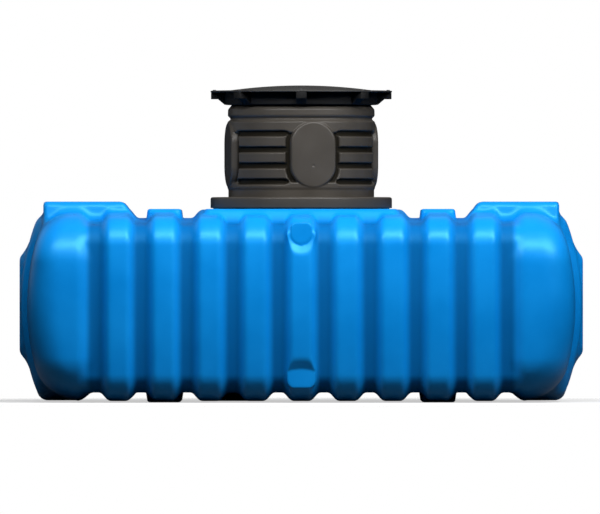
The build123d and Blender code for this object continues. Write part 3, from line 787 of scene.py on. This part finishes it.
def tank_blue():
    """Blue polyethylene with painted shade in the valleys of the corrugation: a deeper blue and less shine
    there.
    """
    tones = (0.0012, 0.225, 0.68), (0.0024, 0.262, 0.76)
    material, tree, shader, place, _ = moulded("blue_polyethylene", *tones, (0.34, 0.42), 420, 0.0004, 5)
    # Painted shade: along the valleys between the ribs, below the decks and short of the ends, the blue is
    # mixed to a deeper tone and most of the shine is taken away
    parts = wire(tree, "ShaderNodeSeparateXYZ", {0: place})
    offset = reckon(tree, "PINGPONG", parts.outputs["X"], RIB_PITCH / 2)
    valley = mapped(tree, offset, VALLEY_SHADE_STRETCH, (0.0, 1.0), interpolation_type="SMOOTHSTEP")
    reach = reckon(tree, "ABSOLUTE", parts.outputs["X"])
    barrel = mapped(tree, reach, (END_START + 0.030, END_START + 0.070), (0.75, 0.0))
    below_decks = mapped(tree, parts.outputs["Z"], (VALLEY_TOP - 0.026, VALLEY_TOP + 0.012), (1.0, 0.0))
    share = reckon(tree, "MULTIPLY", reckon(tree, "MULTIPLY", valley, barrel), below_decks)
    surface = shader.inputs["Base Color"].links[0].from_socket
    tree.links.new(blended(tree, share, surface, (*VALLEY_PAINTED_SHADE, 1)), shader.inputs["Base Color"])
    gloss = shader.inputs["Roughness"].links[0].from_socket
    tree.links.new(reckon(tree, "MULTIPLY_ADD", share, 0.2, gloss), shader.inputs["Roughness"])
    tree.links.new(mapped(tree, share, (0.0, 1.0), (0.65, 0.05)), shader.inputs["Specular IOR Level"])
    shader.inputs["Specular Tint"].default_value = (*TANK_SHINE, 1)
    return material


def riser_plastic():
    """Warm black plastic of the riser, with painted shade in its grooves and moats: a deeper black without
    shine there.
    """
    tones = (0.044, 0.039, 0.033), (0.055, 0.049, 0.042)
    material, tree, shader, place, _ = moulded("black_riser_plastic", *tones, (0.32, 0.40), 700, 0.0004, 7)
    level = wire(tree, "ShaderNodeVectorMath", {0: place, 1: (1, 1, 0)}, operation="MULTIPLY")
    radius = wire(tree, "ShaderNodeVectorMath", {0: level.outputs["Vector"]}, operation="LENGTH")
    # Painted shade: the floors of the grooves and moats on the band are mixed to a deeper black and lose
    # their shine
    depth = (BAND_RADIUS - 0.011, BAND_RADIUS - 0.003)
    recess_shade = mapped(tree, radius.outputs["Value"], depth, (0.85, 0.0))
    height = wire(tree, "ShaderNodeSeparateXYZ", {0: place}).outputs["Z"]
    above = reckon(tree, "GREATER_THAN", height, BAND_LOW + 0.006)
    below = reckon(tree, "LESS_THAN", height, BAND_TOP - 0.030)
    share = reckon(tree, "MULTIPLY", recess_shade, reckon(tree, "MULTIPLY", above, below))
    surface = shader.inputs["Base Color"].links[0].from_socket
    tree.links.new(blended(tree, share, surface, (*GROOVE_PAINTED_SHADE, 1)), shader.inputs["Base Color"])
    tree.links.new(mapped(tree, share, (0.0, 1.0), (0.25, 0.0)), shader.inputs["Specular IOR Level"])
    return material


def seal_rubber():
    """Dull black rubber of the flat and ring seals."""
    tones = (0.010, 0.010, 0.010), (0.017, 0.016, 0.016)
    return moulded("seal_rubber_black", *tones, (0.6, 0.75), 900, 0.0003, 12)[0]


def shaded_frame_plastic():
    """Black plastic of the cover's frame and its lugs, much darker and duller than the cover's, as painted
    shade under the cover's rim.
    """
    # Painted shade: this tone stands for the shade under the cover's rim, not for a different plastic
    tones = (0.007, 0.007, 0.0072), (0.011, 0.011, 0.0113)
    return moulded("black_frame_plastic_painted_shade", *tones, (0.55, 0.65), 900, 0.0004, 9, shine=0.08)[0]


def screw_steel():
    """Dark steel of the screw heads, with a fine and shallow grain."""
    tones = (0.050, 0.050, 0.052), (0.075, 0.075, 0.078)
    return moulded("screw_steel", *tones, (0.4, 0.55), 1500, 0.0001, 60)[0]


def finish(piece, slot_name, *nodes):
    """Lets a piece ride with the tank and hides the construction pieces that it stands for; the name of its
    finish is not used.
    """
    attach(piece, "root")
    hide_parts(*nodes)


def body_nodes():
    """Names of the construction pieces that the skin of the moulded body stands for."""
    names = ["roof", "base", "manhole_deck", "pump_sump"]
    long_sides = ("wall", "shoulder", "haunch", "pipe_seat", "drain_seat")
    names += [side + name for side in ("front_", "back_") for name in long_sides]
    ends = ("end", "end_deck", "strap_pad", "foot")
    return names + [side + name for side in ("left_", "right_") for name in ends]


def tank_body():
    """The moulded body in one skin, held inside the box of the construction model."""
    points, left_pole, right_pole = tank_points()
    low_corner, high_corner = (np.array(corner) for corner in cad_bounds)
    points = np.clip(points, low_corner, high_corner)
    finish(skin("tank_body", points, blue, (left_pole, right_pole)), "tank_blue", *body_nodes())


def riser_wall():
    """The riser's wall with its pads and grooves."""
    points, low_pole, high_pole = riser_points()
    finish(skin("riser_wall", points, black, (low_pole, high_pole)), "riser_black", "riser")


def base_ring():
    """Flat ring round the riser's foot, rounded most at its outer top edge."""
    inner = NECK_RADIUS + RING_GAP
    corners = [(inner, RING_LOW), (RING_RADIUS, RING_LOW), (RING_RADIUS, RING_TOP)]
    corners += [(inner + 0.004, RING_TOP), (inner, RING_TOP - 0.003)]
    ring = closed_ring("base_ring_skin", corners, [0.0015, 0.003, 0.009, 0.002, 0.002], black)
    finish(ring, "riser_black", "base_ring")


def cover_frame():
    """The frame's ring on top of the riser, a little wider in its upper part."""
    low = RISER_TOP
    corners = [(FRAME_HOLE, low), (FRAME_RADIUS - 0.003, low), (FRAME_RADIUS, low + FRAME_LEDGE)]
    corners += [(FRAME_RADIUS, FRAME_TOP), (FRAME_HOLE, FRAME_TOP)]
    ring = closed_ring("cover_frame_skin", corners, [0.002, 0.004, 0.004, 0.002, 0.002], shaded_frame_black)
    finish(ring, "riser_black", "cover_frame")


def cover_dome():
    """The cover: a shallow cap of a sphere on a flat rim."""
    rise = COVER_TOP - RIM_TOP
    sphere = (DOME_RADIUS**2 + rise**2) / (2 * rise)
    radius = np.linspace(POLE_GAP, DOME_RADIUS, DOME_ROWS)
    dome = np.column_stack((radius, COVER_TOP - sphere + np.sqrt(sphere**2 - radius**2)))
    corners = [(DOME_RADIUS, RIM_TOP), (COVER_RADIUS, RIM_TOP)]
    corners += [(COVER_RADIUS, RIM_BOTTOM), (POLE_GAP, RIM_BOTTOM)]
    rim = rounded_path(corners, [0.0025, 0.002])[1:]
    grid = turned(np.concatenate((dome, rim)), RING_COLUMNS)
    cover = skin("cover_dome", grid, cover_black, ((0, 0, COVER_TOP), (0, 0, RIM_BOTTOM)))
    finish(cover, "riser_black", "cover")


def cover_lugs():
    """Lugs that lean out from the frame's foot and carry the cover's rim."""
    root = FRAME_RADIUS - 0.004
    heel = LUG_REACH - LUG_LENGTH
    top = RIM_BOTTOM - 0.0005
    foot = RISER_TOP + 0.001
    profile = [(heel, top), (root, top), (root, foot), (FRAME_RADIUS, foot)]
    profile += [(heel, LUG_LOW), (LUG_REACH, LUG_LOW), (LUG_REACH, top), (heel, top)]
    grid, left, right = prism(profile, LUG_HALF_WIDTH, LUG_EDGE)
    lugs = around_axis("cover_lugs", grid, (left, right), LUG_COUNT, shaded_frame_black)
    finish(lugs, "riser_black", "cover_frame")


def cover_screws():
    """Round screw heads on the cover's rim, one over each lug, sunk a little into it."""
    core = 0.0005
    seat = RIM_TOP - SCREW_SINK
    profile = [(core, 0.0), (SCREW_RADIUS, 0.0), (SCREW_RADIUS, 0.003)]
    profile += [(SCREW_RADIUS - 0.002, SCREW_HEIGHT), (core, SCREW_HEIGHT)]
    outline = resample(rounded_path(profile, [0.0, 0.001, 0.001]), SCREW_ROWS)
    head = turned(outline, SCREW_COLUMNS) * np.array((1, -1, 1)) + np.array((0, SCREW_CIRCLE, seat))
    poles = ((0, SCREW_CIRCLE, seat), (0, SCREW_CIRCLE, seat + SCREW_HEIGHT))
    screws = around_axis("cover_screws", head, poles, LUG_COUNT, steel)
    finish(screws, "riser_black", "cover")


def background_rays(tree, share):
    """1 for rays from the camera and this share for mirrored and clear ones, which show the white too."""
    path = wire(tree, "ShaderNodeLightPath")
    shown = reckon(tree, "MAXIMUM", path.outputs["Is Glossy Ray"], path.outputs["Is Transmission Ray"])
    part = reckon(tree, "MULTIPLY", shown, share)
    return reckon(tree, "MAXIMUM", path.outputs["Is Camera Ray"], part)


def floor_material():
    """Matt floor, pale to the camera and dark to the light that it throws back, clear towards its rim."""
    material = bpy.data.materials.new("pale_floor")
    material.use_nodes = True
    tree = material.node_tree
    tree.nodes.clear()
    place = wire(tree, "ShaderNodeTexCoord").outputs["Object"]
    far = wire(tree, "ShaderNodeVectorMath", {0: place}, operation="LENGTH").outputs["Value"]
    fade = mapped(tree, far, FLOOR_FADE, (0.0, 1.0), interpolation_type="SMOOTHSTEP")
    tone = blended(tree, background_rays(tree, 0.2), (0.06, 0.06, 0.06, 1), (0.92, 0.92, 0.92, 1))
    matt = wire(tree, "ShaderNodeBsdfDiffuse", {"Color": tone})
    white = wire(tree, "ShaderNodeEmission", {"Color": (1, 1, 1, 1), "Strength": 1.0})
    camera_ray = wire(tree, "ShaderNodeLightPath").outputs["Is Camera Ray"]
    glow = reckon(tree, "MULTIPLY", camera_ray, 0.55)
    pale = wire(tree, "ShaderNodeMixShader", {0: glow, 1: matt.outputs[0], 2: white.outputs[0]})
    clear = wire(tree, "ShaderNodeBsdfTransparent")
    both = wire(tree, "ShaderNodeMixShader", {0: fade, 1: pale.outputs[0], 2: clear.outputs[0]})
    wire(tree, "ShaderNodeOutputMaterial", {"Surface": both.outputs[0]})
    return material


def pale_floor():
    """Flat rings of growing radius about the origin, just under the feet, with a fan in the middle."""
    rings, columns = 24, 96
    angle = np.arange(columns) * 2 * pi / columns
    radius = np.linspace(0.05, FLOOR_RADIUS, rings)[:, None]
    level = np.full((rings, columns), FLOOR_LEVEL)
    grid = np.stack((radius * np.cos(angle), radius * np.sin(angle), level), axis=-1)
    vertices = np.concatenate((grid.reshape(-1, 3), [[0, 0, FLOOR_LEVEL]]))
    quads = lattice(rings, columns, False)
    middle_fan = pole_fans(rings, columns)[:columns]
    mesh = bpy.data.meshes.new("floor")
    mesh.from_pydata(vertices.tolist(), [], quads.tolist() + middle_fan.tolist())
    mesh.materials.append(floor_material())
    floor = bpy.data.objects.new("floor", mesh)
    bpy.context.scene.collection.objects.link(floor)


def soft_world():
    """White behind the object for the camera, and a soft sky, darker low down, for everything else."""
    world = bpy.data.worlds.new("studio")
    bpy.context.scene.world = world
    world.use_nodes = True
    tree = world.node_tree
    tree.nodes.clear()
    way = wire(tree, "ShaderNodeSeparateXYZ", {0: wire(tree, "ShaderNodeTexCoord").outputs["Generated"]})
    lean = reckon(tree, "MULTIPLY", way.outputs["Y"], 0.25)
    height = mapped(tree, reckon(tree, "ADD", way.outputs["Z"], lean), (-0.4, 1.2), (0.0, 1.0))
    low, middle, high = (0.008, 0.008, 0.009), (0.02, 0.02, 0.021), (0.70, 0.71, 0.73)
    sky = ramp(tree, height, [(0.0, low), (0.45, middle), (1.0, high)])
    soft = wire(tree, "ShaderNodeBackground", {"Color": sky, "Strength": 0.25})
    white = wire(tree, "ShaderNodeBackground", {"Color": (1, 1, 1, 1), "Strength": 1.0})
    behind = mapped(tree, way.outputs["Y"], (0.5, 0.9), (0.0, 0.03))
    above = mapped(tree, way.outputs["Z"], (0.05, 0.3), (0.0, 1.0))
    screen = background_rays(tree, reckon(tree, "MULTIPLY", behind, above))
    both = wire(tree, "ShaderNodeMixShader", {0: screen, 1: soft.outputs[0], 2: white.outputs[0]})
    wire(tree, "ShaderNodeOutputWorld", {"Surface": both.outputs[0]})


def lamp(name, place, target, size, energy):
    """Rectangular soft lamp that looks at its target, with its size across and up in metres."""
    data = bpy.data.lights.new(name, "AREA")
    data.shape = "RECTANGLE"
    data.size, data.size_y = size
    data.energy = energy
    obj = bpy.data.objects.new(name, data)
    obj.location = place
    away = np.array(place) - np.array(target)
    obj.rotation_euler = (atan2(np.hypot(away[0], away[1]), away[2]), 0, atan2(away[0], -away[1]))
    bpy.context.scene.collection.objects.link(obj)


def sun(name, turn, height, softness, strength):
    """Soft sun, turned this many degrees to the right of the front and this high above the ground."""
    data = bpy.data.lights.new(name, "SUN")
    data.angle = radians(softness)
    data.energy = strength
    obj = bpy.data.objects.new(name, data)
    obj.rotation_euler = (radians(90 - height), 0, radians(turn))
    bpy.context.scene.collection.objects.link(obj)


def photo_camera():
    """Level view square to the front from far off, framed as the photograph is."""
    lens = 1000.0
    sensor = 36.0
    picture_width = 2.487
    middle_x, middle_z = -0.0052, 0.599
    data = bpy.data.cameras.new("photo_camera")
    data.lens = lens
    data.sensor_width = sensor
    data.clip_end = 400.0
    camera = bpy.data.objects.new("photo_camera", data)
    camera.location = (middle_x, -picture_width * lens / sensor, middle_z)
    camera.rotation_euler = (pi / 2, 0, 0)
    bpy.context.scene.collection.objects.link(camera)
    bpy.context.scene.camera = camera


blue = tank_blue()
black = riser_plastic()
shaded_frame_black = shaded_frame_plastic()
cover_black = cover_plastic()
rubber = seal_rubber()
steel = screw_steel()

tank_body()
riser_wall()
base_ring()
cover_frame()
cover_dome()
cover_lugs()
cover_screws()
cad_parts["manhole_collar"].material_slots[0].material = blue
for node in ("deck_seal", "riser_seal", "cover_seal"):
    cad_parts[node].material_slots[0].material = rubber

pale_floor()
soft_world()
sun("sun", 40, 48, 30, 1.3)
lamp("strip", (0.5, -1.55, 2.0), (0.5, -0.5, 0.5), (4.6, 0.18), 80)
lamp("left fill", (-3.2, 1.2, 1.6), (-1.1, 0.0, 0.5), (2.4, 2.0), 6)
lamp("back fill", (0.4, 2.6, 3.0), (0.0, 0.3, 0.5), (4.0, 1.4), 4)
photo_camera()
bpy.context.scene.view_settings.view_transform = "Standard"
